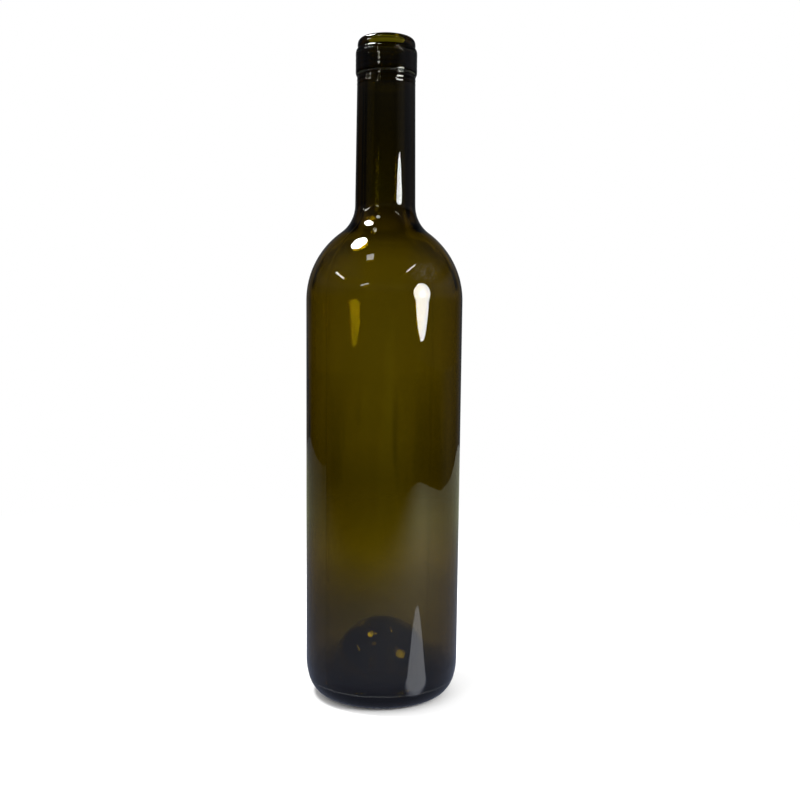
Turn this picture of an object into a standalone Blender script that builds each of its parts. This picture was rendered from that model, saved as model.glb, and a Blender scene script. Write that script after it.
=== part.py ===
"""A bordeaux wine bottle: one piece of olive glass, empty and open at the mouth.

Metres, +Z up. The origin is the middle of the ring that the bottle stands on.
The whole bottle is turned from one profile. It starts at the top of the punt
inside, runs out to the trough and up the inner wall to the mouth, goes over
the lip and down the outside to the standing ring, and ends under the punt.
"""
import bpy
from math import acos, atan2, cos, hypot, pi, radians, sin, sqrt, tan

# Height and body
TOTAL_HEIGHT = 0.3148
BODY_RADIUS = 0.0377
HEEL_TOP_RADIUS = 0.03695
BODY_TOP = 0.1909
SIDE_WALL = 0.0028

# Shoulder and neck, outside and inside
SHOULDER_ROUND = 0.0399
NECK_FLARE = 0.0165
NECK_ROOT_RADIUS = 0.01454
NECK_TOP_RADIUS = 0.01398
INNER_SHOULDER_ROUND = SHOULDER_ROUND - SIDE_WALL
INNER_NECK_FLARE = 0.0190
BORE_ROOT_RADIUS = 0.0100

# Cork finish: a collar band with a rounded lip above it
MOUTH_RADIUS = 0.00925
MOUTH_EDGE = 0.0008
LIP_RADIUS = 0.01386
LIP_ROUND = 0.0037
LIP_FOOT = 0.0010
NOTCH_RADIUS = 0.01366
BAND_RADIUS = 0.01472
BAND_BOTTOM = 0.2970
BAND_SHOULDER = 0.0024
BAND_EDGE = 0.0005

# Heel, standing ring and punt
HEEL_HEIGHT = 0.0176
HEEL_FULLNESS = 2.2
RING_OUTER_RADIUS = 0.0260
RING_INNER_RADIUS = 0.0235
RING_EDGE = 0.0016
PUNT_RISE = 0.0364
PUNT_DOME = 0.0233
PUNT_FLANK = radians(75)
PUNT_WALL = 0.0050
TROUGH_FLOOR = 0.0055
TROUGH_ROUND = 0.0030
INNER_HEEL_TOP = 0.0210

TURN_STEPS = 48
CURVE_TOLERANCE = 0.00008
SHARP_EDGE = radians(40)

GLASS_COLOUR = (0.115, 0.095, 0.012, 1.0)
GLASS_ROUGHNESS = 0.04
GLASS_IOR = 1.52


def arc(centre, radius, start, end):
    """Points round a centre from one angle to another, both ends included."""
    widest_step = 2 * acos(1 - CURVE_TOLERANCE / radius)
    steps = max(2, round(abs(end - start) / widest_step))
    angles = [start + (end - start) * i / steps for i in range(steps + 1)]
    return [(centre[0] + radius * cos(a), centre[1] + radius * sin(a)) for a in angles]


def heel_curve(foot, top, fullness, steps=9):
    """A full quarter curve from the foot, where it is level, to the top, where it is upright."""
    power = 2 / fullness
    width = top[0] - foot[0]
    height = top[1] - foot[1]
    angles = [pi / 2 * i / steps for i in range(steps + 1)]
    return [(foot[0] + width * sin(a) ** power, top[1] - height * cos(a) ** power) for a in angles]


def shoulder_curve(start, dome_radius, flare_radius, neck_radius):
    """The shoulder from the top of the side: a dome that flows into the flare under the neck."""
    dome_centre = (start[0] - dome_radius, start[1])
    flare_across = neck_radius + flare_radius - dome_centre[0]
    flare_up = sqrt((dome_radius + flare_radius) ** 2 - flare_across ** 2)
    flare_centre = (neck_radius + flare_radius, dome_centre[1] + flare_up)
    turn = atan2(flare_up, flare_across)
    dome = arc(dome_centre, dome_radius, 0, turn)
    flare = arc(flare_centre, flare_radius, turn + pi, pi)
    return dome + flare[1:]


def punt_inside():
    """The punt's top face: a dome, a steep flank and the round into the trough."""
    dome = arc((0, PUNT_RISE - PUNT_DOME), PUNT_DOME, pi / 2, pi / 2 - PUNT_FLANK)
    dome[0] = (0, PUNT_RISE)
    flank_top = dome[-1]
    round_start = pi + pi / 2 - PUNT_FLANK
    round_centre_height = TROUGH_FLOOR + TROUGH_ROUND
    flank_foot_height = round_centre_height + TROUGH_ROUND * sin(round_start)
    flank_foot_radius = flank_top[0] + (flank_top[1] - flank_foot_height) / tan(PUNT_FLANK)
    round_centre = (flank_foot_radius - TROUGH_ROUND * cos(round_start), round_centre_height)
    return dome + arc(round_centre, TROUGH_ROUND, round_start, 3 * pi / 2)


def punt_underside():
    """The hollow under the bottle, from the standing ring to the middle of its roof."""
    dome_radius = PUNT_DOME - PUNT_WALL
    dome_centre = (0, PUNT_RISE - PUNT_WALL - dome_radius)
    dome = arc(dome_centre, dome_radius, pi / 2 - PUNT_FLANK, pi / 2)
    dome[-1] = (0, PUNT_RISE - PUNT_WALL)
    edge = arc((RING_INNER_RADIUS, RING_EDGE), RING_EDGE, 3 * pi / 2, pi + pi / 2 - PUNT_FLANK)
    return edge + dome


def inner_wall():
    """From the trough up the inside of the heel, side, shoulder and neck to the mouth."""
    trough = punt_inside()
    side_foot = (HEEL_TOP_RADIUS - SIDE_WALL, INNER_HEEL_TOP)
    side_top = (BODY_RADIUS - SIDE_WALL, BODY_TOP)
    heel = heel_curve(trough[-1], side_foot, HEEL_FULLNESS, steps=6)
    shoulder = shoulder_curve(side_top, INNER_SHOULDER_ROUND, INNER_NECK_FLARE, BORE_ROOT_RADIUS)
    mouth_centre = (MOUTH_RADIUS + MOUTH_EDGE, TOTAL_HEIGHT - MOUTH_EDGE)
    mouth = arc(mouth_centre, MOUTH_EDGE, pi, pi / 2)
    return trough + heel[1:] + shoulder + mouth


def finish():
    """The rounded lip, the notch under it and the collar band."""
    lip_centre = (LIP_RADIUS - LIP_ROUND, TOTAL_HEIGHT - LIP_ROUND)
    lip = arc(lip_centre, LIP_ROUND, pi / 2, 0)
    notch_height = lip_centre[1] - LIP_FOOT
    notch = (NOTCH_RADIUS, notch_height)
    band_shoulder_width = BAND_RADIUS - NOTCH_RADIUS
    band_shoulder = [
        (NOTCH_RADIUS + band_shoulder_width * sin(a), notch_height - BAND_SHOULDER * (1 - cos(a)))
        for a in (radians(35), radians(62), radians(90))
    ]
    band_edge_centre = (BAND_RADIUS - BAND_EDGE, BAND_BOTTOM + BAND_EDGE)
    band_edge = arc(band_edge_centre, BAND_EDGE, 0, -pi / 2)
    return lip + [notch] + band_shoulder + band_edge + [(NECK_TOP_RADIUS, BAND_BOTTOM)]


def outer_wall():
    """From the lip down the neck, shoulder, side and heel to the standing ring."""
    side_top = (BODY_RADIUS, BODY_TOP)
    shoulder = shoulder_curve(side_top, SHOULDER_ROUND, NECK_FLARE, NECK_ROOT_RADIUS)
    ring = (RING_OUTER_RADIUS, 0)
    heel = heel_curve(ring, (HEEL_TOP_RADIUS, HEEL_HEIGHT), HEEL_FULLNESS)
    return finish() + shoulder[::-1] + heel[::-1]


def bottle_profile():
    """The closed run of the wall, without points that fall on one another."""
    run = inner_wall() + outer_wall() + punt_underside()
    kept = [run[0]]
    for point in run[1:]:
        if hypot(point[0] - kept[-1][0], point[1] - kept[-1][1]) > 0.00002:
            kept.append(point)
    return kept


def olive_glass():
    """Dark olive bottle glass."""
    material = bpy.data.materials.new("olive_glass")
    material.use_nodes = True
    shader = material.node_tree.nodes["Principled BSDF"]
    shader.inputs["Base Color"].default_value = GLASS_COLOUR
    shader.inputs["Metallic"].default_value = 0.0
    shader.inputs["Roughness"].default_value = GLASS_ROUGHNESS
    shader.inputs["IOR"].default_value = GLASS_IOR
    shader.inputs["Transmission Weight"].default_value = 0.85
    return material


def turned(name, profile, material, collection):
    """A solid turned about the Z axis from a profile in the XZ plane."""
    outline = bpy.data.meshes.new(name)
    points = [(radius, 0, height) for radius, height in profile]
    edges = [(i, i + 1) for i in range(len(points) - 1)]
    outline.from_pydata(points, edges, [])
    piece = bpy.data.objects.new(name, outline)
    collection.objects.link(piece)
    screw = piece.modifiers.new("Turn", 'SCREW')
    screw.axis = 'Z'
    screw.angle = 2 * pi
    screw.steps = TURN_STEPS
    screw.render_steps = TURN_STEPS
    screw.use_merge_vertices = True
    screw.merge_threshold = 0.00001
    bpy.context.view_layer.update()
    evaluated = piece.evaluated_get(bpy.context.evaluated_depsgraph_get())
    solid = bpy.data.meshes.new_from_object(evaluated)
    piece.modifiers.clear()
    piece.data = solid
    solid.name = name
    bpy.data.meshes.remove(outline)
    solid.materials.append(material)
    solid.shade_smooth()
    solid.set_sharp_from_angle(angle=SHARP_EDGE)
    return piece


def main():
    for old in list(bpy.data.objects):
        bpy.data.objects.remove(old, do_unlink=True)
    collection = bpy.data.collections.new("bordeaux_wine_bottle")
    bpy.context.scene.collection.children.link(collection)
    turned("bottle", bottle_profile(), olive_glass(), collection)


main()
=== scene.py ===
"""The looks of a bordeaux wine bottle: one wall of olive glass on a pale table top.

Metres, +Z up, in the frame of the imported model. The wall is turned again from
the bottle's own sizes with finer steps, and the mould's marks are pressed into
it: the seams, the parting line of the heel, the knurled ring that it stands on,
the rings under the collar band and the slight waves and folds of the inner face.

The room is made for the glass. What is seen through the wall, what is mirrored in
it and what is seen beside it have each their own brightness, as they have between
the screens and lamps round a bottle that is being photographed.
"""

import bpy
from math import acos, atan2, cos, hypot, pi, radians, sin, sqrt, tan
from mathutils import Matrix, Vector


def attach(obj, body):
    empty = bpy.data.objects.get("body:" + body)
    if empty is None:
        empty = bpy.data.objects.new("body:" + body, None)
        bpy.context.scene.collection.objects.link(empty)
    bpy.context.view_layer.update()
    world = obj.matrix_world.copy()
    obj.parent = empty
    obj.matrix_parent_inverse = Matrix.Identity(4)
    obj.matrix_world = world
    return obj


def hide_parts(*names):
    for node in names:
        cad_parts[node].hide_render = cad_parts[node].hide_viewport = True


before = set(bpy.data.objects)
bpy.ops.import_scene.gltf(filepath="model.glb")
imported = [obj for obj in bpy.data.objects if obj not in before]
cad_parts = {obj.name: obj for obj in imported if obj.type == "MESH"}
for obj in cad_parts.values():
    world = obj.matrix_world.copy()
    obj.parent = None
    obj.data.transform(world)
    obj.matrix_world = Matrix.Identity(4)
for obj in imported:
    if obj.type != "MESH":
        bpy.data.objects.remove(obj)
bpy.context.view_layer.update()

# Height and body
TOTAL_HEIGHT = 0.3148
BODY_RADIUS = 0.0377
HEEL_TOP_RADIUS = 0.03695
BODY_TOP = 0.1909
SIDE_WALL = 0.0028

# Shoulder and neck, outside and inside
SHOULDER_ROUND = 0.0399
NECK_FLARE = 0.0165
NECK_ROOT_RADIUS = 0.01454
NECK_TOP_RADIUS = 0.01398
INNER_SHOULDER_ROUND = SHOULDER_ROUND - SIDE_WALL
INNER_NECK_FLARE = 0.0190
BORE_ROOT_RADIUS = 0.0100

# Cork finish: a collar band with a rounded lip above it
MOUTH_RADIUS = 0.00925
MOUTH_EDGE = 0.0008
LIP_RADIUS = 0.01386
LIP_ROUND = 0.0037
LIP_FULLNESS = 2.6
LIP_FOOT = 0.0014
NOTCH_RADIUS = 0.01366
BAND_RADIUS = 0.01472
BAND_BOTTOM = 0.2970
BAND_SHOULDER = 0.0024
BAND_EDGE = 0.0015
BAND_FOOT = 0.0006
NECK_BEADS = ((0.2950, 0.00008, 0.0006), (0.2932, 0.00008, 0.0006))

# Heel, standing ring and punt
HEEL_HEIGHT = 0.0176
HEEL_FULLNESS = 2.2
RING_OUTER_RADIUS = 0.0260
RING_INNER_RADIUS = 0.0235
RING_EDGE = 0.0016
PUNT_RISE = 0.0364
PUNT_DOME = 0.0233
PUNT_FLANK = radians(75)
PUNT_WALL = 0.0050
TROUGH_FLOOR = 0.0055
TROUGH_ROUND = 0.0030
INNER_HEEL_TOP = 0.0210

# How finely the wall is turned
TURN_STEPS = 280
CURVE_TOLERANCE = 0.00002
SHOULDER_TOLERANCE = 0.000006
CORNER_EASE = 0.00022
INNER_ROW = 0.0050
OUTER_ROW = 0.0160
SHORTEST_STRAIGHT = 0.0038
RIPPLE_ROW = 0.00042
RIPPLE_TOP = 0.3075
RIPPLE_FOOT = 0.2915
ROW_BESIDE_BEND = 0.0004
SAME_POINT = 0.00002

# Marks of the mould
SEAM_ANGLE = radians(-134.4)
SEAM_HEIGHT = 0.00010
SEAM_WIDTH = 0.0005
PARTING_HEIGHT = 0.0083
PARTING_WIDTH = 0.0005
KNURLS = 56
KNURL_DEPTH = 0.00035
KNURL_TOP = 0.0016
WALL_WAVE = 0.0004
FOLD_ANGLE = radians(-90)
FOLD_TOP = 0.1900
FOLD_SPREAD = 0.050
FOLD_DEPTH = 0.00027
RIPPLE_HEIGHT = 0.000016
RIPPLE_LENGTH = 0.0022
RIPPLE_FADE = 0.0020

# Glass
GLASS_IOR = 1.52
GLASS_DEPTH_COLOUR = (0.735, 0.672, 0.0, 1.0)
GLASS_DENSITY = 1150.0
# Full dark, and the colours that painted shade brings into the glass's surface colour at the seams, the neck
# and the lip
FULL_DARK = (0.0, 0.0, 0.0, 1.0)
SEAM_PAINTED_SHADE = (0.35, 0.36, 0.22, 1.0)
NECK_PAINTED_SHADE = (0.16, 0.42, 0.10, 1.0)
LIP_PAINTED_SHADE = (0.15, 0.70, 0.30, 1.0)
NECK_HEIGHTS = (0.222, 0.243)
BAND_FOOT_HEIGHTS = (0.2962, 0.2978)
BAND_TOP_HEIGHTS = (0.3108, 0.3096)
DUST_PLACE = (0.0185, 0.2030)
DUST_REACH = (0.0085, 0.0055)

# Camera
CAMERA_PLACE = (0.00107, -0.4976, 0.1751)
CAMERA_DROP = 0.0645
CAMERA_SWING = 0.0138
CAMERA_LEAN = 0.0094
CAMERA_LENS = 46.19
CAMERA_SENSOR = 36.0

# The room, by how high one looks: its brightness through the glass
BACKDROP = (
    (-0.03, 0.340),
    (0.000, 0.345),
    (0.030, 0.320),
    (0.080, 0.370),
    (0.105, 0.385),
    (0.135, 0.325),
    (0.165, 0.240),
    (0.195, 0.180),
    (0.225, 0.155),
    (0.255, 0.150),
    (0.272, 0.380),
    (0.300, 0.360),
    (0.360, 0.240),
    (0.450, 0.190),
    (0.600, 0.180),
    (1.000, 0.120),
)

# The table top, by the distance from the bottle's axis: its brightness through the glass
TABLE_THROUGH_GLASS = (
    (0.030, 0.004),
    (0.045, 0.045),
    (0.08, 0.105),
    (0.12, 0.106),
    (0.17, 0.132),
    (0.29, 0.275),
    (0.46, 0.258),
    (0.72, 0.230),
    (1.19, 0.300),
    (2.20, 0.335),
    (4.00, 0.335),
)
TABLE_REACH = 4.0
TABLE_HEIGHT = -0.0001

# The colour of the painted light on the table top as the glass mirrors it, by the distance from the bottle's
# axis
MIRRORED_TINT = (
    (0.10, (0.66, 0.735, 1.0)),
    (0.30, (0.85, 0.90, 1.0)),
    (0.50, (1.35, 1.45, 1.0)),
    (0.80, (1.30, 1.35, 1.0)),
    (1.20, (0.90, 0.95, 1.0)),
)
# The colour of a bright patch of painted light, as light focused through the bottle would leave on the table
LIGHT_PATCH_TINT = (0.87, 0.905, 1.0, 1.0)
MIRROR_TINT = (0.88, 0.92)

# Strips of light: azimuth and elevation of each end, distance, thickness in degrees, brightness
LIGHT_STRIPS = (
    ("left_strip", (-83.5, 26.7), (-65.0, 22.3), 1.0, 2.0, 12),
    ("front_strip", (-34.9, 17.3), (-23.9, 20.1), 2.2, 1.3, 9),
    ("right_strip", (36.9, 34.6), (58.0, 41.5), 1.0, 1.5, 12),
    ("high_window", (-41.2, 53.3), (-26.0, 57.2), 1.0, 9.0, 5),
)
SHOULDER_HEIGHT = 0.225
RIGHT_LAMP_AIM = (0, 0, 0.256)
LEFT_LAMP_PLACE = (-0.263, 0.032, 0.736)


def arc(centre, radius, start, end, tolerance=CURVE_TOLERANCE):
    """Points round a centre from one angle to another, both ends included."""
    widest_step = 2 * acos(1 - tolerance / radius)
    steps = max(2, round(abs(end - start) / widest_step))
    angles = [start + (end - start) * i / steps for i in range(steps + 1)]
    return [(centre[0] + radius * cos(a), centre[1] + radius * sin(a)) for a in angles]


def full_curve(foot, top, fullness, steps):
    """A full quarter curve from the foot, where it is level, to the top, where it is upright."""
    power = 2 / fullness
    width = top[0] - foot[0]
    height = top[1] - foot[1]
    angles = [pi / 2 * i / steps for i in range(steps + 1)]
    return [(foot[0] + width * sin(a) ** power, top[1] - height * cos(a) ** power) for a in angles]


def shoulder_curve(start, dome_radius, flare_radius, neck_radius, tolerance=CURVE_TOLERANCE):
    """The shoulder from the top of the side: a dome that flows into the flare under the neck."""
    dome_centre = (start[0] - dome_radius, start[1])
    flare_across = neck_radius + flare_radius - dome_centre[0]
    flare_up = sqrt((dome_radius + flare_radius) ** 2 - flare_across ** 2)
    flare_centre = (neck_radius + flare_radius, dome_centre[1] + flare_up)
    turn = atan2(flare_up, flare_across)
    dome = arc(dome_centre, dome_radius, 0, turn, tolerance)
    flare = arc(flare_centre, flare_radius, turn + pi, pi, tolerance)
    return dome + flare[1:]


def punt_inside():
    """The punt's top face: a dome, a steep flank and the round into the trough."""
    dome = arc((0, PUNT_RISE - PUNT_DOME), PUNT_DOME, pi / 2, pi / 2 - PUNT_FLANK)
    dome[0] = (0, PUNT_RISE)
    flank_top = dome[-1]
    round_start = pi + pi / 2 - PUNT_FLANK
    round_centre_height = TROUGH_FLOOR + TROUGH_ROUND
    flank_foot_height = round_centre_height + TROUGH_ROUND * sin(round_start)
    flank_foot_radius = flank_top[0] + (flank_top[1] - flank_foot_height) / tan(PUNT_FLANK)
    round_centre = (flank_foot_radius - TROUGH_ROUND * cos(round_start), round_centre_height)
    return dome + arc(round_centre, TROUGH_ROUND, round_start, 3 * pi / 2)


def punt_underside():
    """The hollow under the bottle, from the standing ring to the middle of its roof."""
    dome_radius = PUNT_DOME - PUNT_WALL
    dome_centre = (0, PUNT_RISE - PUNT_WALL - dome_radius)
    dome = arc(dome_centre, dome_radius, pi / 2 - PUNT_FLANK, pi / 2)
    dome[-1] = (0, PUNT_RISE - PUNT_WALL)
    edge = arc((RING_INNER_RADIUS, RING_EDGE), RING_EDGE, 3 * pi / 2, pi + pi / 2 - PUNT_FLANK)
    return edge + dome


def inner_wall():
    """From the trough up the inside of the heel, side, shoulder and neck to the mouth."""
    trough = punt_inside()
    side_foot = (HEEL_TOP_RADIUS - SIDE_WALL, INNER_HEEL_TOP)
    side_top = (BODY_RADIUS - SIDE_WALL, BODY_TOP)
    heel = full_curve(trough[-1], side_foot, HEEL_FULLNESS, steps=14)
    shoulder = shoulder_curve(side_top, INNER_SHOULDER_ROUND, INNER_NECK_FLARE, BORE_ROOT_RADIUS)
    mouth_centre = (MOUTH_RADIUS + MOUTH_EDGE, TOTAL_HEIGHT - MOUTH_EDGE)
    mouth = arc(mouth_centre, MOUTH_EDGE, pi, pi / 2)
    return trough + heel[1:] + shoulder + mouth


def finish():
    """The rounded lip, the notch under it and the collar band."""
    lip_top = (LIP_RADIUS - LIP_ROUND, TOTAL_HEIGHT)
    lip_side = (LIP_RADIUS, TOTAL_HEIGHT - LIP_ROUND)
    lip = full_curve(lip_top, lip_side, LIP_FULLNESS, steps=12)
    notch_height = lip_side[1] - LIP_FOOT
    notch = (NOTCH_RADIUS, notch_height)
    band_shoulder_width = BAND_RADIUS - NOTCH_RADIUS
    band_shoulder = [
        (NOTCH_RADIUS + band_shoulder_width * sin(a), notch_height - BAND_SHOULDER * (1 - cos(a)))
        for a in (radians(12 * i) for i in range(1, 8))
    ]
    band_shoulder.append((BAND_RADIUS, notch_height - BAND_SHOULDER))
    band_edge_centre = (BAND_RADIUS - BAND_EDGE, BAND_BOTTOM + BAND_EDGE)
    band_edge = arc(band_edge_centre, BAND_EDGE, 0, -radians(60))
    foot_centre = (NECK_TOP_RADIUS + BAND_FOOT, band_edge[-1][1] - BAND_FOOT)
    foot = arc(foot_centre, BAND_FOOT, radians(120), pi)
    return lip + [notch] + band_shoulder + band_edge + foot + neck_beads()


def neck_beads():
    """The fine rings that the mould's joint leaves on the neck under the band."""
    points = []
    for height, rise, half_width in NECK_BEADS:
        for i in range(9):
            across = i / 4 - 1
            swell = rise * (1 + cos(pi * across)) / 2
            points.append((NECK_TOP_RADIUS + swell, height - half_width * across))
    return points


def outer_wall():
    """From the lip down the neck, shoulder, side and heel to the standing ring."""
    side_top = (BODY_RADIUS, BODY_TOP)
    shoulder = shoulder_curve(side_top, SHOULDER_ROUND, NECK_FLARE, NECK_ROOT_RADIUS, SHOULDER_TOLERANCE)
    ring = (RING_OUTER_RADIUS, 0)
    heel = full_curve(ring, (HEEL_TOP_RADIUS, HEEL_HEIGHT), HEEL_FULLNESS, steps=30)
    return finish() + shoulder[::-1] + heel[::-1]


def apart(points):
    """The same run without points that fall on one another."""
    kept = [points[0]]
    for point in points[1:]:
        if hypot(point[0] - kept[-1][0], point[1] - kept[-1][1]) > SAME_POINT:
            kept.append(point)
    return kept


def eased(points):
    """The same run with its sharp corners rounded a little, as hot glass leaves them."""
    run = [Vector(point) for point in points]
    kept = [run[0]]
    for before, corner, after in zip(run, run[1:], run[2:]):
        arriving = corner - before
        leaving = after - corner
        if arriving.angle(leaving) < radians(20):
            kept.append(corner)
            continue
        entry = corner - arriving.normalized() * min(CORNER_EASE, arriving.length * 0.4)
        departure = corner + leaving.normalized() * min(CORNER_EASE, leaving.length * 0.4)
        for t in (0, 0.25, 0.5, 0.75, 1):
            kept.append(entry.lerp(corner, t).lerp(corner.lerp(departure, t), t))
    kept.append(run[-1])
    return kept


def with_ripple_rows(points):
    """The same run with close rows on the collar band and the top of the neck, for their ripples."""
    kept = [points[0]]
    for start, end in zip(points, points[1:]):
        length = (end - start).length
        straight = abs(end[0] - start[0]) < 0.05 * length
        top = min(start[1], RIPPLE_TOP)
        foot = max(end[1], RIPPLE_FOOT)
        if straight and start[1] > end[1] and top - foot > RIPPLE_ROW:
            parts = round((top - foot) / RIPPLE_ROW)
            heights = [top + (foot - top) * i / parts for i in range(parts + 1)]
            kept += [start.lerp(end, (start[1] - z) / (start[1] - end[1])) for z in heights]
        if (end - kept[-1]).length > SAME_POINT:
            kept.append(end)
    return kept


def in_short_rows(points, longest):
    """The same run with its long straight parts divided, and with a row close beside each bend."""
    kept = [points[0]]
    for start, end in zip(points, points[1:]):
        length = (end - start).length
        if length < SHORTEST_STRAIGHT:
            kept.append(end)
            continue
        step = (end - start) * (ROW_BESIDE_BEND / length)
        first = start + step
        last = end - step
        parts = max(1, round((last - first).length / longest))
        kept += [first.lerp(last, i / parts) for i in range(parts + 1)] + [end]
    return kept


def outward_directions(points):
    """At each point of the run, the direction that leaves the glass."""
    directions = []
    last = len(points) - 1
    for i in range(len(points)):
        along = (points[min(i + 1, last)] - points[max(i - 1, 0)]).normalized()
        directions.append((-along[1], 0, along[0]))
    directions[0] = (0, 0, 1)
    directions[-1] = (0, 0, -1)
    return directions


def bottle_profile(name):
    """The wall's closed run as a mesh of edges, with what the turning needs at each point."""
    inside = in_short_rows(eased(apart(inner_wall())), INNER_ROW)
    outside = in_short_rows(with_ripple_rows(eased(apart(outer_wall() + punt_underside()))), OUTER_ROW)
    points = inside + outside
    mesh = bpy.data.meshes.new(name)
    edges = [(i, i + 1) for i in range(len(points) - 1)]
    mesh.from_pydata([(p[0], 0, p[1]) for p in points], edges, [])
    outward = mesh.attributes.new("outward", 'FLOAT_VECTOR', 'POINT')
    outward.data.foreach_set("vector", [n for d in outward_directions(points) for n in d])
    is_outside = mesh.attributes.new("is_outside", 'FLOAT', 'POINT')
    is_outside.data.foreach_set("value", [0.0] * len(inside) + [1.0] * len(outside))
    return mesh


def plug(tree, socket, value):
    """Feeds a socket from another socket, or sets it to a plain value."""
    if isinstance(value, bpy.types.NodeSocket):
        tree.links.new(value, socket)
    else:
        socket.default_value = value


def calc(tree, operation, *values, clamp=False):
    """One step of arithmetic in a node tree."""
    node = tree.nodes.new("ShaderNodeMath")
    node.operation = operation
    node.use_clamp = clamp
    for socket, value in zip(node.inputs, values):
        plug(tree, socket, value)
    return node.outputs[0]


def product(tree, *values):
    """All the values multiplied with one another."""
    result = values[0]
    for value in values[1:]:
        result = calc(tree, 'MULTIPLY', result, value)
    return result


def total(tree, *values):
    """All the values added to one another."""
    result = values[0]
    for value in values[1:]:
        result = calc(tree, 'ADD', result, value)
    return result


def square(tree, value):
    """A value multiplied with itself."""
    return calc(tree, 'POWER', value, 2.0)


def apart_from(tree, value, middle):
    """How far a value is from a middle one, on either side."""
    return calc(tree, 'ABSOLUTE', calc(tree, 'SUBTRACT', value, middle))


def vector(tree, x, y, z):
    """Three numbers as one vector."""
    node = tree.nodes.new("ShaderNodeCombineXYZ")
    for socket, value in zip(node.inputs, (x, y, z)):
        plug(tree, socket, value)
    return node.outputs[0]


def parts_of(tree, source):
    """The three numbers of a vector."""
    node = tree.nodes.new("ShaderNodeSeparateXYZ")
    plug(tree, node.inputs[0], source)
    return node.outputs[0], node.outputs[1], node.outputs[2]


def distance(tree, x, y, centre):
    """How far a place is from an upright line through a centre."""
    across = square(tree, calc(tree, 'SUBTRACT', x, centre[0]))
    along = square(tree, calc(tree, 'SUBTRACT', y, centre[1]))
    return calc(tree, 'SQRT', calc(tree, 'ADD', across, along))


def fade(tree, value, start, end, low=0.0, high=1.0):
    """A smooth change from low at start to high at end."""
    node = tree.nodes.new("ShaderNodeMapRange")
    node.interpolation_type = 'SMOOTHSTEP'
    for name, number in (("Value", value), ("From Min", start), ("From Max", end),
                         ("To Min", low), ("To Max", high)):
        plug(tree, node.inputs[name], number)
    return node.outputs["Result"]


def ridge(tree, distance, half_width):
    """One at no distance, and nothing from half the width outwards."""
    away = calc(tree, 'DIVIDE', distance, half_width)
    return calc(tree, 'SUBTRACT', 1.0, away, clamp=True)


def noise(tree, place, scale, detail=2.0):
    """Soft noise at a place, about half on average."""
    node = tree.nodes.new("ShaderNodeTexNoise")
    plug(tree, node.inputs["Vector"], place)
    plug(tree, node.inputs["Scale"], scale)
    plug(tree, node.inputs["Detail"], detail)
    return node.outputs[0]


def mix_colour(tree, amount, first, second):
    """One colour that goes over into another."""
    node = tree.nodes.new("ShaderNodeMix")
    node.data_type = 'RGBA'
    plug(tree, node.inputs[0], amount)
    plug(tree, node.inputs[6], first)
    plug(tree, node.inputs[7], second)
    return node.outputs[2]


def scaled(tree, colour, amount):
    """A colour made brighter or darker."""
    node = tree.nodes.new("ShaderNodeVectorMath")
    node.operation = 'SCALE'
    plug(tree, node.inputs[0], colour)
    plug(tree, node.inputs["Scale"], amount)
    return node.outputs[0]


def levels(tree, value, stops):
    """A run of colours: each stop is a value and the colour there."""
    first = stops[0][0]
    last = stops[-1][0]
    spread = tree.nodes.new("ShaderNodeMapRange")
    for name, number in (("Value", value), ("From Min", first), ("From Max", last)):
        plug(tree, spread.inputs[name], number)
    node = tree.nodes.new("ShaderNodeValToRGB")
    ramp = node.color_ramp
    while len(ramp.elements) < len(stops):
        ramp.elements.new(0.5)
    for element, (place, colour) in zip(ramp.elements, stops):
        element.position = (place - first) / (last - first)
        element.color = (*colour, 1.0)
    plug(tree, node.inputs["Fac"], spread.outputs["Result"])
    return node.outputs["Color"]


def greys(tree, value, stops):
    """A run of greys: each stop is a value and the brightness there."""
    return levels(tree, value, [(place, (brightness,) * 3) for place, brightness in stops])


def mix_shader(tree, amount, first, second):
    """One finish that goes over into another."""
    node = tree.nodes.new("ShaderNodeMixShader")
    for socket, value in zip(node.inputs, (amount, first, second)):
        plug(tree, socket, value)
    return node.outputs[0]


def in_the_mirror(tree):
    """One where a surface is mirrored by the glass, and nothing where it is seen or lit."""
    path = tree.nodes.new("ShaderNodeLightPath").outputs
    straight = calc(tree, 'SUBTRACT', 1.0, path["Is Transmission Ray"])
    return calc(tree, 'MULTIPLY', path["Is Glossy Ray"], straight)


def at_row(tree, profile, row, kind, value):
    """What the profile holds at one of its points."""
    node = tree.nodes.new("GeometryNodeSampleIndex")
    node.data_type = kind
    node.domain = 'POINT'
    plug(tree, node.inputs["Geometry"], profile)
    plug(tree, node.inputs["Value"], value)
    plug(tree, node.inputs["Index"], row)
    return node.outputs["Value"]


def named(tree, name, kind):
    """An attribute that the profile carries."""
    node = tree.nodes.new("GeometryNodeInputNamedAttribute")
    node.data_type = kind
    node.inputs["Name"].default_value = name
    return node.outputs["Attribute"]


def drawn_to_seams(tree, angle, seam_angle):
    """The same angles, closer together at the two seams, so that the seams are fine and crisp."""
    aside = calc(tree, 'TANGENT', calc(tree, 'SUBTRACT', angle, seam_angle))
    near = calc(tree, 'EXPONENT', calc(tree, 'MULTIPLY', square(tree, aside), -365.0))
    return calc(tree, 'SUBTRACT', angle, calc(tree, 'MULTIPLY', calc(tree, 'MULTIPLY', aside, near), 0.62))


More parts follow.
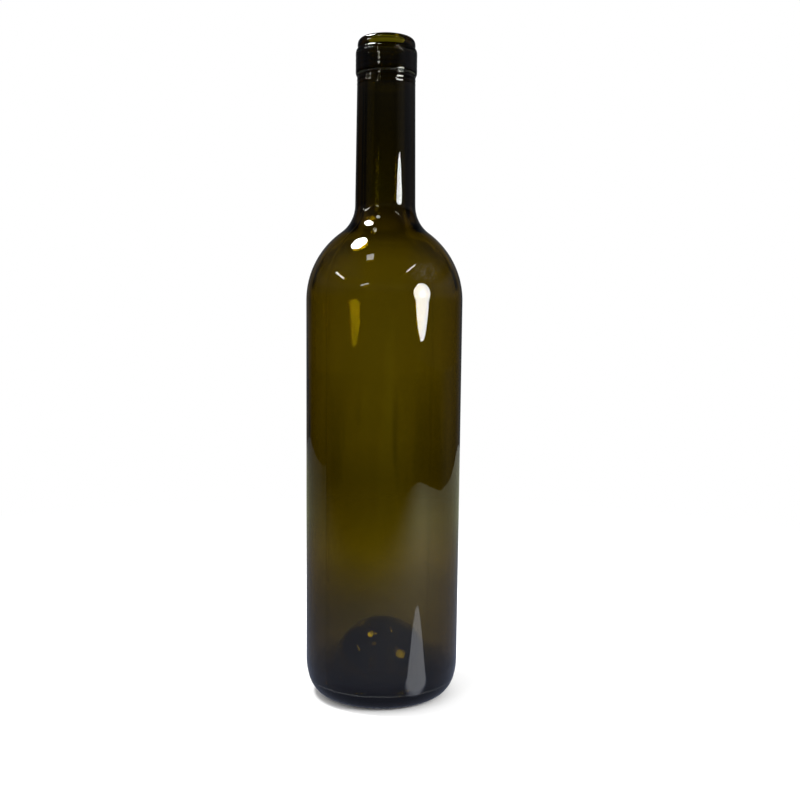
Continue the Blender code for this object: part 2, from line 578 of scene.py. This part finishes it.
def raised_lines(tree, given, angle, radius, height, outside):
    """The two seams down the bottle and the parting line round its heel."""
    from_seam = calc(tree, 'ABSOLUTE', calc(tree, 'SINE', calc(tree, 'SUBTRACT', angle, given["Seam angle"])))
    reach = calc(tree, 'MULTIPLY', fade(tree, height, 0.006, 0.010), outside)
    seam = ridge(tree, calc(tree, 'MULTIPLY', from_seam, radius), given["Seam width"])
    seam = calc(tree, 'MULTIPLY', seam, reach)
    parting = ridge(tree, apart_from(tree, height, given["Parting height"]), given["Parting width"])
    parting = calc(tree, 'MULTIPLY', parting, outside)
    lowered = calc(tree, 'SUBTRACT', calc(tree, 'MAXIMUM', seam, parting), 1.0)
    return calc(tree, 'MULTIPLY', lowered, calc(tree, 'MULTIPLY', given["Seam height"], reach))


def knurled_ring(tree, given, angle, height, outside):
    """The fine teeth in the edge of the ring that the bottle stands on."""
    tooth = calc(tree, 'COSINE', calc(tree, 'MULTIPLY', angle, given["Knurls"]))
    tooth = calc(tree, 'SUBTRACT', calc(tree, 'MULTIPLY', tooth, 0.5), 0.5)
    reach = calc(tree, 'MULTIPLY', fade(tree, height, given["Knurl top"], 0.0), outside)
    return product(tree, tooth, reach, given["Knurl depth"])


def wavy_glass(tree, given, cosine, sine, height, inside):
    """The slow waves of the inner face, calmer in the shoulder."""
    slow_height = calc(tree, 'MULTIPLY', calc(tree, 'MINIMUM', height, 0.215), 5.0)
    wave = calc(tree, 'SUBTRACT', noise(tree, vector(tree, cosine, sine, slow_height), 3.0), 0.5)
    reach = calc(tree, 'MULTIPLY', fade(tree, height, 0.038, 0.060), fade(tree, height, 0.310, 0.290))
    shoulder = calc(tree, 'MULTIPLY', fade(tree, height, 0.188, 0.206), fade(tree, height, 0.252, 0.238))
    calmer = calc(tree, 'MULTIPLY_ADD', shoulder, -0.75, 1.0)
    reach = calc(tree, 'MULTIPLY', reach, calc(tree, 'MULTIPLY', inside, calmer))
    return product(tree, wave, reach, given["Wall wave"])


def folded_glass(tree, given, angle, radius, height):
    """A long tongue of thinner glass in the front of the body, with finer folds in it."""
    turn = calc(tree, 'SINE', calc(tree, 'SUBTRACT', angle, given["Fold angle"]))
    front = calc(tree, 'COSINE', calc(tree, 'SUBTRACT', angle, given["Fold angle"]))
    aside = calc(tree, 'MULTIPLY', turn, radius)
    below = calc(tree, 'SUBTRACT', given["Fold top"], height)
    half_width = calc(tree, 'MULTIPLY', below, given["Fold spread"])
    sway = calc(tree, 'MULTIPLY', calc(tree, 'SINE', calc(tree, 'MULTIPLY', height, 140.0)), 0.0004)
    centre = calc(tree, 'ADD', calc(tree, 'MULTIPLY_ADD', below, -0.015, 0.0031), sway)
    from_edge = calc(tree, 'SUBTRACT', apart_from(tree, aside, centre), half_width)
    lift = fade(tree, from_edge, 0.0018, -0.0018)
    along = product(tree, fade(tree, below, 0.0, 0.012), fade(tree, below, 0.115, 0.085))
    return product(tree, lift, along, fade(tree, front, 0.2, 0.6), given["Fold depth"], -1.0)


def rippled_band(tree, given, height, outside):
    """The faint rings that the mould leaves on the collar band, which break up what they mirror."""
    turns = calc(tree, 'DIVIDE', calc(tree, 'MULTIPLY', height, 2 * pi), given["Ripple length"])
    ripple = calc(tree, 'SUBTRACT', calc(tree, 'SINE', turns), 1.0)
    foot = fade(tree, height, RIPPLE_FOOT, RIPPLE_FOOT + RIPPLE_FADE)
    top = fade(tree, height, RIPPLE_TOP, RIPPLE_TOP - RIPPLE_FADE)
    ripple = calc(tree, 'MULTIPLY', ripple, given["Ripple height"])
    return product(tree, ripple, calc(tree, 'MULTIPLY', foot, top), outside)


def turned_wall_tree():
    """Turns the profile round the Z axis and presses the mould's marks into the wall."""
    tree = bpy.data.node_groups.new("turned_wall", 'GeometryNodeTree')
    sizes = (
        ("Profile", 'NodeSocketGeometry'),
        ("Steps", 'NodeSocketInt'),
        ("Seam angle", 'NodeSocketFloat'),
        ("Seam height", 'NodeSocketFloat'),
        ("Seam width", 'NodeSocketFloat'),
        ("Parting height", 'NodeSocketFloat'),
        ("Parting width", 'NodeSocketFloat'),
        ("Knurls", 'NodeSocketFloat'),
        ("Knurl depth", 'NodeSocketFloat'),
        ("Knurl top", 'NodeSocketFloat'),
        ("Wall wave", 'NodeSocketFloat'),
        ("Fold angle", 'NodeSocketFloat'),
        ("Fold top", 'NodeSocketFloat'),
        ("Fold spread", 'NodeSocketFloat'),
        ("Fold depth", 'NodeSocketFloat'),
        ("Ripple height", 'NodeSocketFloat'),
        ("Ripple length", 'NodeSocketFloat'),
        ("Glass", 'NodeSocketMaterial'),
    )
    for name, kind in sizes:
        tree.interface.new_socket(name, in_out='INPUT', socket_type=kind)
    tree.interface.new_socket("Wall", in_out='OUTPUT', socket_type='NodeSocketGeometry')
    given = tree.nodes.new("NodeGroupInput").outputs
    profile = given["Profile"]

    count = tree.nodes.new("GeometryNodeAttributeDomainSize")
    plug(tree, count.inputs["Geometry"], profile)
    rows = count.outputs["Point Count"]
    grid = tree.nodes.new("GeometryNodeMeshGrid")
    plug(tree, grid.inputs["Size X"], 1.0)
    plug(tree, grid.inputs["Size Y"], 1.0)
    plug(tree, grid.inputs["Vertices X"], calc(tree, 'ADD', given["Steps"], 1.0))
    plug(tree, grid.inputs["Vertices Y"], rows)

    place = tree.nodes.new("GeometryNodeInputPosition").outputs[0]
    across, along, _ = parts_of(tree, place)
    angle = calc(tree, 'MULTIPLY', calc(tree, 'ADD', across, 0.5), 2 * pi)
    angle = drawn_to_seams(tree, angle, given["Seam angle"])
    last_row = calc(tree, 'SUBTRACT', rows, 1.0)
    row = calc(tree, 'ROUND', calc(tree, 'MULTIPLY', calc(tree, 'ADD', along, 0.5), last_row))
    radius, _, height = parts_of(tree, at_row(tree, profile, row, 'FLOAT_VECTOR', place))
    outward = at_row(tree, profile, row, 'FLOAT_VECTOR', named(tree, "outward", 'FLOAT_VECTOR'))
    outward_across, _, outward_up = parts_of(tree, outward)
    outside = at_row(tree, profile, row, 'FLOAT', named(tree, "is_outside", 'FLOAT'))
    inside = calc(tree, 'SUBTRACT', 1.0, outside)
    cosine = calc(tree, 'COSINE', angle)
    sine = calc(tree, 'SINE', angle)

    raised = raised_lines(tree, given, angle, radius, height, outside)
    knurl = knurled_ring(tree, given, angle, height, outside)
    wave = wavy_glass(tree, given, cosine, sine, height, inside)
    fold = calc(tree, 'MULTIPLY', folded_glass(tree, given, angle, radius, height), inside)
    ripple = rippled_band(tree, given, height, outside)
    relief = total(tree, total(tree, raised, knurl), total(tree, wave, fold), ripple)
    out_across = calc(tree, 'MULTIPLY_ADD', relief, outward_across, radius)
    out_up = calc(tree, 'MULTIPLY_ADD', relief, outward_up, height)
    moved = tree.nodes.new("GeometryNodeSetPosition")
    plug(tree, moved.inputs["Geometry"], grid.outputs["Mesh"])
    out_x = calc(tree, 'MULTIPLY', out_across, cosine)
    out_y = calc(tree, 'MULTIPLY', out_across, sine)
    plug(tree, moved.inputs["Position"], vector(tree, out_x, out_y, out_up))

    joined = tree.nodes.new("GeometryNodeMergeByDistance")
    plug(tree, joined.inputs["Geometry"], moved.outputs["Geometry"])
    plug(tree, joined.inputs["Distance"], 0.000001)
    outward_faces = tree.nodes.new("GeometryNodeFlipFaces")
    plug(tree, outward_faces.inputs["Mesh"], joined.outputs["Geometry"])
    real = tree.nodes.new("GeometryNodeRealizeInstances")
    plug(tree, real.inputs["Geometry"], outward_faces.outputs["Mesh"])
    glazed = tree.nodes.new("GeometryNodeSetMaterial")
    plug(tree, glazed.inputs["Geometry"], real.outputs["Geometry"])
    plug(tree, glazed.inputs["Material"], given["Glass"])
    plug(tree, tree.nodes.new("NodeGroupOutput").inputs["Wall"], glazed.outputs["Geometry"])
    return tree


def give_sizes(modifier, values):
    """Sets the inputs of a node modifier by their names."""
    for item in modifier.node_group.interface.items_tree:
        if item.in_out == 'INPUT' and item.name in values:
            modifier[item.identifier] = values[item.name]


def glass_bottle(glass):
    """The whole bottle as one closed wall of glass."""
    piece = bpy.data.objects.new("glass_wall", bottle_profile("glass_profile"))
    bpy.context.scene.collection.objects.link(piece)
    turning = piece.modifiers.new("Turned wall", 'NODES')
    turning.node_group = turned_wall_tree()
    give_sizes(turning, {
        "Steps": TURN_STEPS,
        "Seam angle": SEAM_ANGLE,
        "Seam height": SEAM_HEIGHT,
        "Seam width": SEAM_WIDTH,
        "Parting height": PARTING_HEIGHT,
        "Parting width": PARTING_WIDTH,
        "Knurls": float(KNURLS),
        "Knurl depth": KNURL_DEPTH,
        "Knurl top": KNURL_TOP,
        "Wall wave": WALL_WAVE,
        "Fold angle": FOLD_ANGLE,
        "Fold top": FOLD_TOP,
        "Fold spread": FOLD_SPREAD,
        "Fold depth": FOLD_DEPTH,
        "Ripple height": RIPPLE_HEIGHT,
        "Ripple length": RIPPLE_LENGTH,
        "Glass": glass,
    })
    bpy.context.view_layer.update()
    evaluated = piece.evaluated_get(bpy.context.evaluated_depsgraph_get())
    wall = bpy.data.meshes.new_from_object(evaluated)
    piece.modifiers.clear()
    piece.data = wall
    wall.name = "glass_wall"
    wall.shade_smooth()
    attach(piece, "root")
    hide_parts("bottle")
    return piece


def glass_tint_and_painted_shade(tree, place):
    """The glass's faint tint, nearly clear with a little random change, and darkened with painted shade at
    the seams, the neck, the collar band, the lip, the punt and the lowest part.
    """
    ramp = tree.nodes.new("ShaderNodeValToRGB")
    ramp.color_ramp.elements[0].position = 0.35
    ramp.color_ramp.elements[0].color = (0.97, 0.98, 0.93, 1.0)
    ramp.color_ramp.elements[1].position = 0.65
    ramp.color_ramp.elements[1].color = (1.0, 1.0, 1.0, 1.0)
    plug(tree, ramp.inputs["Fac"], noise(tree, place, 60.0, detail=3.0))
    x, y, height = parts_of(tree, place)
    across = calc(tree, 'MULTIPLY', x, -sin(SEAM_ANGLE))
    from_seam = calc(tree, 'ABSOLUTE', calc(tree, 'MULTIPLY_ADD', y, cos(SEAM_ANGLE), across))
    # Painted shade: a fine darker line along the two seams, on the body below the shoulder.
    seam = fade(tree, from_seam, 0.00035, 0.00005, 0.0, 0.65)
    seam = calc(tree, 'MULTIPLY', seam, fade(tree, height, 0.215, 0.190))
    tint = mix_colour(tree, seam, ramp.outputs["Color"], SEAM_PAINTED_SHADE)
    # Painted shade: the neck darker and greener, from the top of the shoulder up to the lip.
    under_lip = fade(tree, height, *BAND_TOP_HEIGHTS)
    neck = calc(tree, 'MULTIPLY', fade(tree, height, *NECK_HEIGHTS), under_lip)
    tint = mix_colour(tree, calc(tree, 'MULTIPLY', neck, 0.44), tint, NECK_PAINTED_SHADE)
    # Painted shade: the collar band darker, from its foot up to the lip.
    band = calc(tree, 'MULTIPLY', fade(tree, height, *BAND_FOOT_HEIGHTS), under_lip)
    tint = mix_colour(tree, calc(tree, 'MULTIPLY', band, 0.35), tint, FULL_DARK)
    # Painted shade: the lip a little darker and greener.
    lip = fade(tree, height, *BAND_TOP_HEIGHTS[::-1], 0.0, 0.25)
    tint = mix_colour(tree, lip, tint, LIP_PAINTED_SHADE)
    # Painted shade: the punt darker, inside the standing ring.
    from_axis = distance(tree, x, y, (0, 0))
    punt = calc(tree, 'MULTIPLY', fade(tree, from_axis, 0.0265, 0.0240), fade(tree, height, 0.045, 0.040))
    tint = mix_colour(tree, calc(tree, 'MULTIPLY', punt, 0.42), tint, FULL_DARK)
    # Painted shade: the lowest part of the glass darker, up to a little above the trough.
    trough = fade(tree, height, 0.017, 0.011, 0.0, 0.35)
    return mix_colour(tree, trough, tint, FULL_DARK)


def glass_haze(tree, place):
    """What takes a little of the glass's clearness: specks, a faint pale line along the parting line and some
    dust.
    """
    x, y, height = parts_of(tree, place)
    cells = tree.nodes.new("ShaderNodeTexVoronoi")
    plug(tree, cells.inputs["Vector"], place)
    plug(tree, cells.inputs["Scale"], 110.0)
    specks = fade(tree, cells.outputs["Distance"], 0.034, 0.018)
    chosen, _, faintness = parts_of(tree, cells.outputs["Color"])
    specks = calc(tree, 'MULTIPLY', specks, fade(tree, chosen, 0.70, 0.72))
    specks = calc(tree, 'MULTIPLY', specks, fade(tree, faintness, 0.0, 1.0, 0.02, 0.12))
    # A faint pale line along the parting line round the heel, on the outer face.
    pale_parting_line = fade(tree, apart_from(tree, height, PARTING_HEIGHT), 0.0005, 0.0001)
    outer_face = fade(tree, distance(tree, x, y, (0, 0)), 0.0342, 0.0348, 0.0, 0.035)
    pale_parting_line = calc(tree, 'MULTIPLY', pale_parting_line, outer_face)
    across = calc(tree, 'DIVIDE', calc(tree, 'SUBTRACT', x, DUST_PLACE[0]), DUST_REACH[0])
    along = calc(tree, 'DIVIDE', calc(tree, 'SUBTRACT', height, DUST_PLACE[1]), DUST_REACH[1])
    from_patch = calc(tree, 'ADD', square(tree, across), square(tree, along))
    patch = calc(tree, 'MULTIPLY', fade(tree, from_patch, 1.0, 0.0), fade(tree, y, 0.0, -0.004))
    dust = calc(tree, 'MULTIPLY', patch, fade(tree, noise(tree, place, 1300.0), 0.48, 0.72, 0.0, 0.035))
    return calc(tree, 'ADD', specks, calc(tree, 'ADD', pale_parting_line, dust))


def olive_glass():
    """Dark olive bottle glass with the colour in its depth: clear at its faces, but for painted shade at the
    seams, neck, collar band, lip, punt and lowest part.
    """
    material = bpy.data.materials.new("olive_glass")
    material.use_nodes = True
    tree = material.node_tree
    shader = tree.nodes["Principled BSDF"]
    shader.inputs["Metallic"].default_value = 0.0
    shader.inputs["IOR"].default_value = GLASS_IOR
    place = tree.nodes.new("ShaderNodeTexCoord").outputs["Object"]
    plug(tree, shader.inputs["Base Color"], glass_tint_and_painted_shade(tree, place))
    clear = calc(tree, 'SUBTRACT', 1.0, glass_haze(tree, place))
    plug(tree, shader.inputs["Transmission Weight"], clear)
    handling = fade(tree, noise(tree, place, 350.0), 0.4, 0.8, 0.004, 0.02)
    plug(tree, shader.inputs["Roughness"], handling)

    skin = tree.nodes.new("ShaderNodeBump")
    plug(tree, skin.inputs["Strength"], 0.06)
    plug(tree, skin.inputs["Distance"], 0.0002)
    plug(tree, skin.inputs["Height"], noise(tree, place, 180.0, detail=1.0))
    plug(tree, shader.inputs["Normal"], skin.outputs["Normal"])

    depth = tree.nodes.new("ShaderNodeVolumeAbsorption")
    depth.inputs["Color"].default_value = GLASS_DEPTH_COLOUR
    depth.inputs["Density"].default_value = GLASS_DENSITY
    tree.links.new(depth.outputs["Volume"], tree.nodes["Material Output"].inputs["Volume"])
    return material


def set_camera():
    """The camera at the photograph's viewing angle."""
    camera = bpy.data.objects.new("camera", bpy.data.cameras.new("camera"))
    bpy.context.scene.collection.objects.link(camera)
    camera.data.sensor_width = CAMERA_SENSOR
    camera.data.lens = CAMERA_LENS
    swing = Matrix.Rotation(-CAMERA_SWING, 4, 'Z')
    drop = Matrix.Rotation(pi / 2 - CAMERA_DROP, 4, 'X')
    lean = Matrix.Rotation(CAMERA_LEAN, 4, 'Z')
    camera.matrix_world = Matrix.Translation(CAMERA_PLACE) @ swing @ drop @ lean
    bpy.context.scene.camera = camera


def room_through_glass(tree, x, up):
    """The room as it is seen through the wall: by height, with the sides brighter or darker."""
    aside = calc(tree, 'ABSOLUTE', x)
    low_sides = calc(tree, 'MULTIPLY', fade(tree, aside, 0.02, 0.15, 0.0, 0.14), fade(tree, up, 0.16, 0.12))
    high_sides = fade(tree, aside, 0.12, 0.32, 0.0, 1.20)
    high_sides = product(tree, high_sides, fade(tree, aside, 0.58, 0.46), fade(tree, up, 0.12, 0.18))
    far_sides = calc(tree, 'MULTIPLY', fade(tree, aside, 0.42, 0.56, 0.0, -0.80), fade(tree, up, 0.10, 0.14))
    sides = calc(tree, 'ADD', calc(tree, 'ADD', low_sides, high_sides), calc(tree, 'ADD', far_sides, 1.0))
    return scaled(tree, greys(tree, up, BACKDROP), sides)


def room_in_mirror(tree, x, y, up):
    """The room as the glass mirrors it: nearly dark, with dim screens at the sides and behind."""
    right = fade(tree, x, 0.55, 0.95, 0.0, 0.105)
    right = product(tree, right, fade(tree, up, 0.0, 0.14, 0.16, 1.0), fade(tree, up, 0.40, 0.25))
    left = calc(tree, 'MULTIPLY', fade(tree, x, -0.70, -0.95, 0.0, 0.022), fade(tree, up, 0.05, 0.14))
    behind = calc(tree, 'ADD', fade(tree, y, 0.60, 0.95, 0.0, 0.08), left)
    above = calc(tree, 'MULTIPLY', fade(tree, up, 0.17, 0.26, 0.0, 0.035), fade(tree, up, 0.40, 0.30))
    slanting = fade(tree, calc(tree, 'ABSOLUTE', x), 0.35, 0.70, 0.0, 0.05)
    slanting = calc(tree, 'MULTIPLY', slanting, fade(tree, up, 0.30, 0.55))
    above = calc(tree, 'ADD', above, slanting)
    dim = calc(tree, 'ADD', calc(tree, 'ADD', right, behind), calc(tree, 'ADD', above, 0.003))
    red, green = [calc(tree, 'MULTIPLY', dim, part) for part in MIRROR_TINT]
    return vector(tree, red, green, dim)


def white_room():
    """A white room that is dimmer through the glass and nearly dark where the glass mirrors it."""
    world = bpy.data.worlds.new("white_room")
    bpy.context.scene.world = world
    world.use_nodes = True
    tree = world.node_tree
    through = tree.nodes.new("ShaderNodeLightPath").outputs["Is Transmission Ray"]
    x, y, up = parts_of(tree, tree.nodes.new("ShaderNodeTexCoord").outputs["Generated"])
    seen = mix_colour(tree, through, (1.0, 1.0, 1.0, 1.0), room_through_glass(tree, x, up))
    room = mix_colour(tree, in_the_mirror(tree), seen, room_in_mirror(tree, x, y, up))
    plug(tree, tree.nodes["Background"].inputs["Color"], room)


def pool(tree, x, y, centre, spread):
    """A soft round pool of light on the table."""
    away = calc(tree, 'DIVIDE', distance(tree, x, y, centre), spread)
    return calc(tree, 'EXPONENT', calc(tree, 'MULTIPLY', square(tree, away), -0.5))


def leaning(tree, x, y, across, along):
    """How far a place lies in a slanting direction."""
    return calc(tree, 'ADD', calc(tree, 'MULTIPLY', x, across), calc(tree, 'MULTIPLY', y, along))


def mirrored_table(tree, x, y):
    """The table top as the glass mirrors it, glowing with painted light: pools of light, a bright patch of
    focused light, and the shadow of whoever stands in front.
    """
    across = calc(tree, 'DIVIDE', calc(tree, 'ADD', x, 0.095), 0.775)
    along = calc(tree, 'DIVIDE', calc(tree, 'SUBTRACT', y, 0.245), 0.800)
    corner = [calc(tree, 'POWER', calc(tree, 'ABSOLUTE', part), 5.0) for part in (across, along)]
    table = fade(tree, calc(tree, 'ADD', *corner), 1.05, 0.95)
    lit = calc(tree, 'MULTIPLY_ADD', x, 0.138, 0.235)
    lit = calc(tree, 'MULTIPLY_ADD', pool(tree, x, y, (0.355, -0.322), 0.1985), 0.572, lit)
    lit = calc(tree, 'MULTIPLY_ADD', pool(tree, x, y, (-0.059, -0.202), 0.1285), 0.340, lit)
    lit = calc(tree, 'MULTIPLY', lit, fade(tree, leaning(tree, x, y, 0.389, 0.921), -0.425, -0.045))
    away = calc(tree, 'MAXIMUM', distance(tree, x, y, (0, 0)), 0.001)
    right = calc(tree, 'DIVIDE', x, away)
    back = calc(tree, 'DIVIDE', y, away)
    beyond = calc(tree, 'MULTIPLY', fade(tree, right, 0.6, 1.0, 0.0, 0.045), fade(tree, back, -0.1, 0.3))
    beyond = calc(tree, 'ADD', beyond, fade(tree, back, 0.60, 0.95, 0.0, 0.08))
    lit_top = calc(tree, 'MULTIPLY', table, fade(tree, away, 0.028, 0.062, 0.55, 1.0))
    brightness = calc(tree, 'MULTIPLY', lit, lit_top)
    brightness = calc(tree, 'MULTIPLY_ADD', calc(tree, 'SUBTRACT', 1.0, table), beyond, brightness)
    # A bright narrow patch of painted light on the table, where light focused through the bottle would fall.
    lengthways = calc(tree, 'SUBTRACT', leaning(tree, x, y, 0.809, -0.588), 0.127)
    lengthways = calc(tree, 'DIVIDE', lengthways, 0.088)
    sideways = calc(tree, 'SUBTRACT', leaning(tree, x, y, 0.588, 0.809), -0.0165)
    sideways = calc(tree, 'DIVIDE', sideways, 0.0205)
    patch = calc(tree, 'ADD', square(tree, lengthways), square(tree, sideways))
    patch = fade(tree, patch, 1.12, 0.88)
    glow = tree.nodes.new("ShaderNodeEmission")
    tint = levels(tree, away, MIRRORED_TINT)
    plug(tree, glow.inputs["Color"], mix_colour(tree, patch, tint, LIGHT_PATCH_TINT))
    plug(tree, glow.inputs["Strength"], calc(tree, 'MULTIPLY_ADD', patch, 2.1, brightness))
    return glow.outputs[0]


def table_through_glass(tree, x, y, away):
    """The table top as it is seen through the wall, with its shades and its brighter sides."""
    aside = calc(tree, 'DIVIDE', x, calc(tree, 'MAXIMUM', calc(tree, 'ADD', y, 0.5), 0.05))
    aside = calc(tree, 'ADD', aside, 0.0156)
    right_shade = fade(tree, aside, 0.038, 0.085, 0.0, 0.30)
    right_shade = calc(tree, 'MULTIPLY', right_shade, fade(tree, aside, 0.200, 0.150))
    left_shade = fade(tree, aside, -0.035, -0.055, 0.0, 0.25)
    left_shade = calc(tree, 'MULTIPLY', left_shade, fade(tree, aside, -0.120, -0.075))
    reach = calc(tree, 'MULTIPLY', fade(tree, away, 0.50, 0.90), fade(tree, away, 3.80, 1.10))
    shade = calc(tree, 'MULTIPLY', calc(tree, 'ADD', right_shade, left_shade), reach)
    shaded = mix_colour(tree, shade, greys(tree, away, TABLE_THROUGH_GLASS), FULL_DARK)
    both_sides = calc(tree, 'MULTIPLY', fade(tree, away, 0.25, 0.36), fade(tree, away, 0.75, 0.45))
    from_middle = calc(tree, 'ABSOLUTE', aside)
    both_sides = calc(tree, 'MULTIPLY', both_sides, fade(tree, from_middle, 0.02, 0.09, 0.0, 0.30))
    near_right = calc(tree, 'MULTIPLY', fade(tree, away, 0.07, 0.09), fade(tree, away, 0.22, 0.15))
    near_right = calc(tree, 'MULTIPLY', near_right, fade(tree, x, 0.0, 0.03, 0.0, 0.45))
    near_left = calc(tree, 'MULTIPLY', fade(tree, away, 0.10, 0.14), fade(tree, away, 0.34, 0.26))
    near_left = calc(tree, 'MULTIPLY', near_left, fade(tree, x, 0.0, -0.03, 0.0, -0.18))
    near_left = calc(tree, 'MULTIPLY', near_left, fade(tree, x, -0.12, -0.07))
    return scaled(tree, shaded, total(tree, both_sides, near_right, near_left, 1.0))


def table_top():
    """The pale table top that the bottle stands on."""
    mesh = bpy.data.meshes.new("table_top")
    reach = TABLE_REACH
    corners = [(-reach, -reach), (reach, -reach), (reach, reach), (-reach, reach)]
    mesh.from_pydata([(x, y, TABLE_HEIGHT) for x, y in corners], [], [(0, 1, 2, 3)])
    piece = bpy.data.objects.new("table_top", mesh)
    bpy.context.scene.collection.objects.link(piece)
    material = bpy.data.materials.new("pale_table")
    material.use_nodes = True
    tree = material.node_tree
    tree.nodes.remove(tree.nodes["Principled BSDF"])
    x, y, _ = parts_of(tree, tree.nodes.new("ShaderNodeTexCoord").outputs["Object"])
    away = distance(tree, x, y, (0, 0))
    through = tree.nodes.new("ShaderNodeLightPath").outputs["Is Transmission Ray"]
    dimmed = table_through_glass(tree, x, y, away)
    lit = tree.nodes.new("ShaderNodeBsdfDiffuse")
    plug(tree, lit.inputs["Color"], mix_colour(tree, through, (0.93, 0.93, 0.93, 1.0), dimmed))
    glow = tree.nodes.new("ShaderNodeEmission")
    plug(tree, glow.inputs["Color"], mix_colour(tree, through, (1.0, 1.0, 1.0, 1.0), dimmed))
    plain = mix_shader(tree, fade(tree, away, 0.15, 0.6), lit.outputs[0], glow.outputs[0])
    top = mix_shader(tree, in_the_mirror(tree), plain, mirrored_table(tree, x, y))
    plug(tree, tree.nodes["Material Output"].inputs["Surface"], top)
    mesh.materials.append(material)


def lamp(name, shape, place, aim, width, height, brightness, along=None):
    """A soft lamp that faces the bottle, its width along a direction, and is seen only in the glass."""
    data = bpy.data.lights.new(name, 'AREA')
    data.shape = shape
    data.size = width
    data.size_y = height
    area = width * height * (pi / 4 if shape in ('DISK', 'ELLIPSE') else 1)
    data.energy = brightness * area * 4
    piece = bpy.data.objects.new(name, data)
    bpy.context.scene.collection.objects.link(piece)
    back = (Vector(place) - Vector(aim)).normalized()
    sideways = Vector(along or (-back.y, back.x, 0))
    sideways = (sideways - back * sideways.dot(back)).normalized()
    facing = Matrix((sideways, back.cross(sideways), back)).transposed().to_4x4()
    piece.matrix_world = Matrix.Translation(place) @ facing
    piece.visible_camera = False
    return piece


def towards(azimuth, elevation, distance, height):
    """A place seen from the bottle's axis: the azimuth is 0 at the camera and 90 at the right."""
    a = radians(azimuth)
    e = radians(elevation)
    level = distance * cos(e)
    return Vector((level * sin(a), -level * cos(a), height + distance * sin(e)))


def set_lamps():
    """The two round lamps and the strips that the glass mirrors."""
    shoulder = (0, 0, SHOULDER_HEIGHT)
    right_lamp = towards(54, 0, 0.40, 0.2505)
    lamp("right_lamp", 'ELLIPSE', right_lamp, RIGHT_LAMP_AIM, 0.182, 0.168, 14)
    lamp("right_lamp_core", 'DISK', right_lamp * 0.98, RIGHT_LAMP_AIM, 0.06, 0.06, 8)
    lamp("left_lamp", 'DISK', LEFT_LAMP_PLACE, shoulder, 0.18, 0.18, 40)
    for name, start, end, away, thickness, brightness in LIGHT_STRIPS:
        first = towards(*start, away, SHOULDER_HEIGHT)
        last = towards(*end, away, SHOULDER_HEIGHT)
        height = 2 * away * tan(radians(thickness / 2))
        along = last - first
        lamp(name, 'RECTANGLE', (first + last) / 2, shoulder, along.length, height, brightness, along)


bpy.context.scene.view_settings.view_transform = 'Standard'
set_camera()
white_room()
table_top()
set_lamps()
glass_bottle(olive_glass())
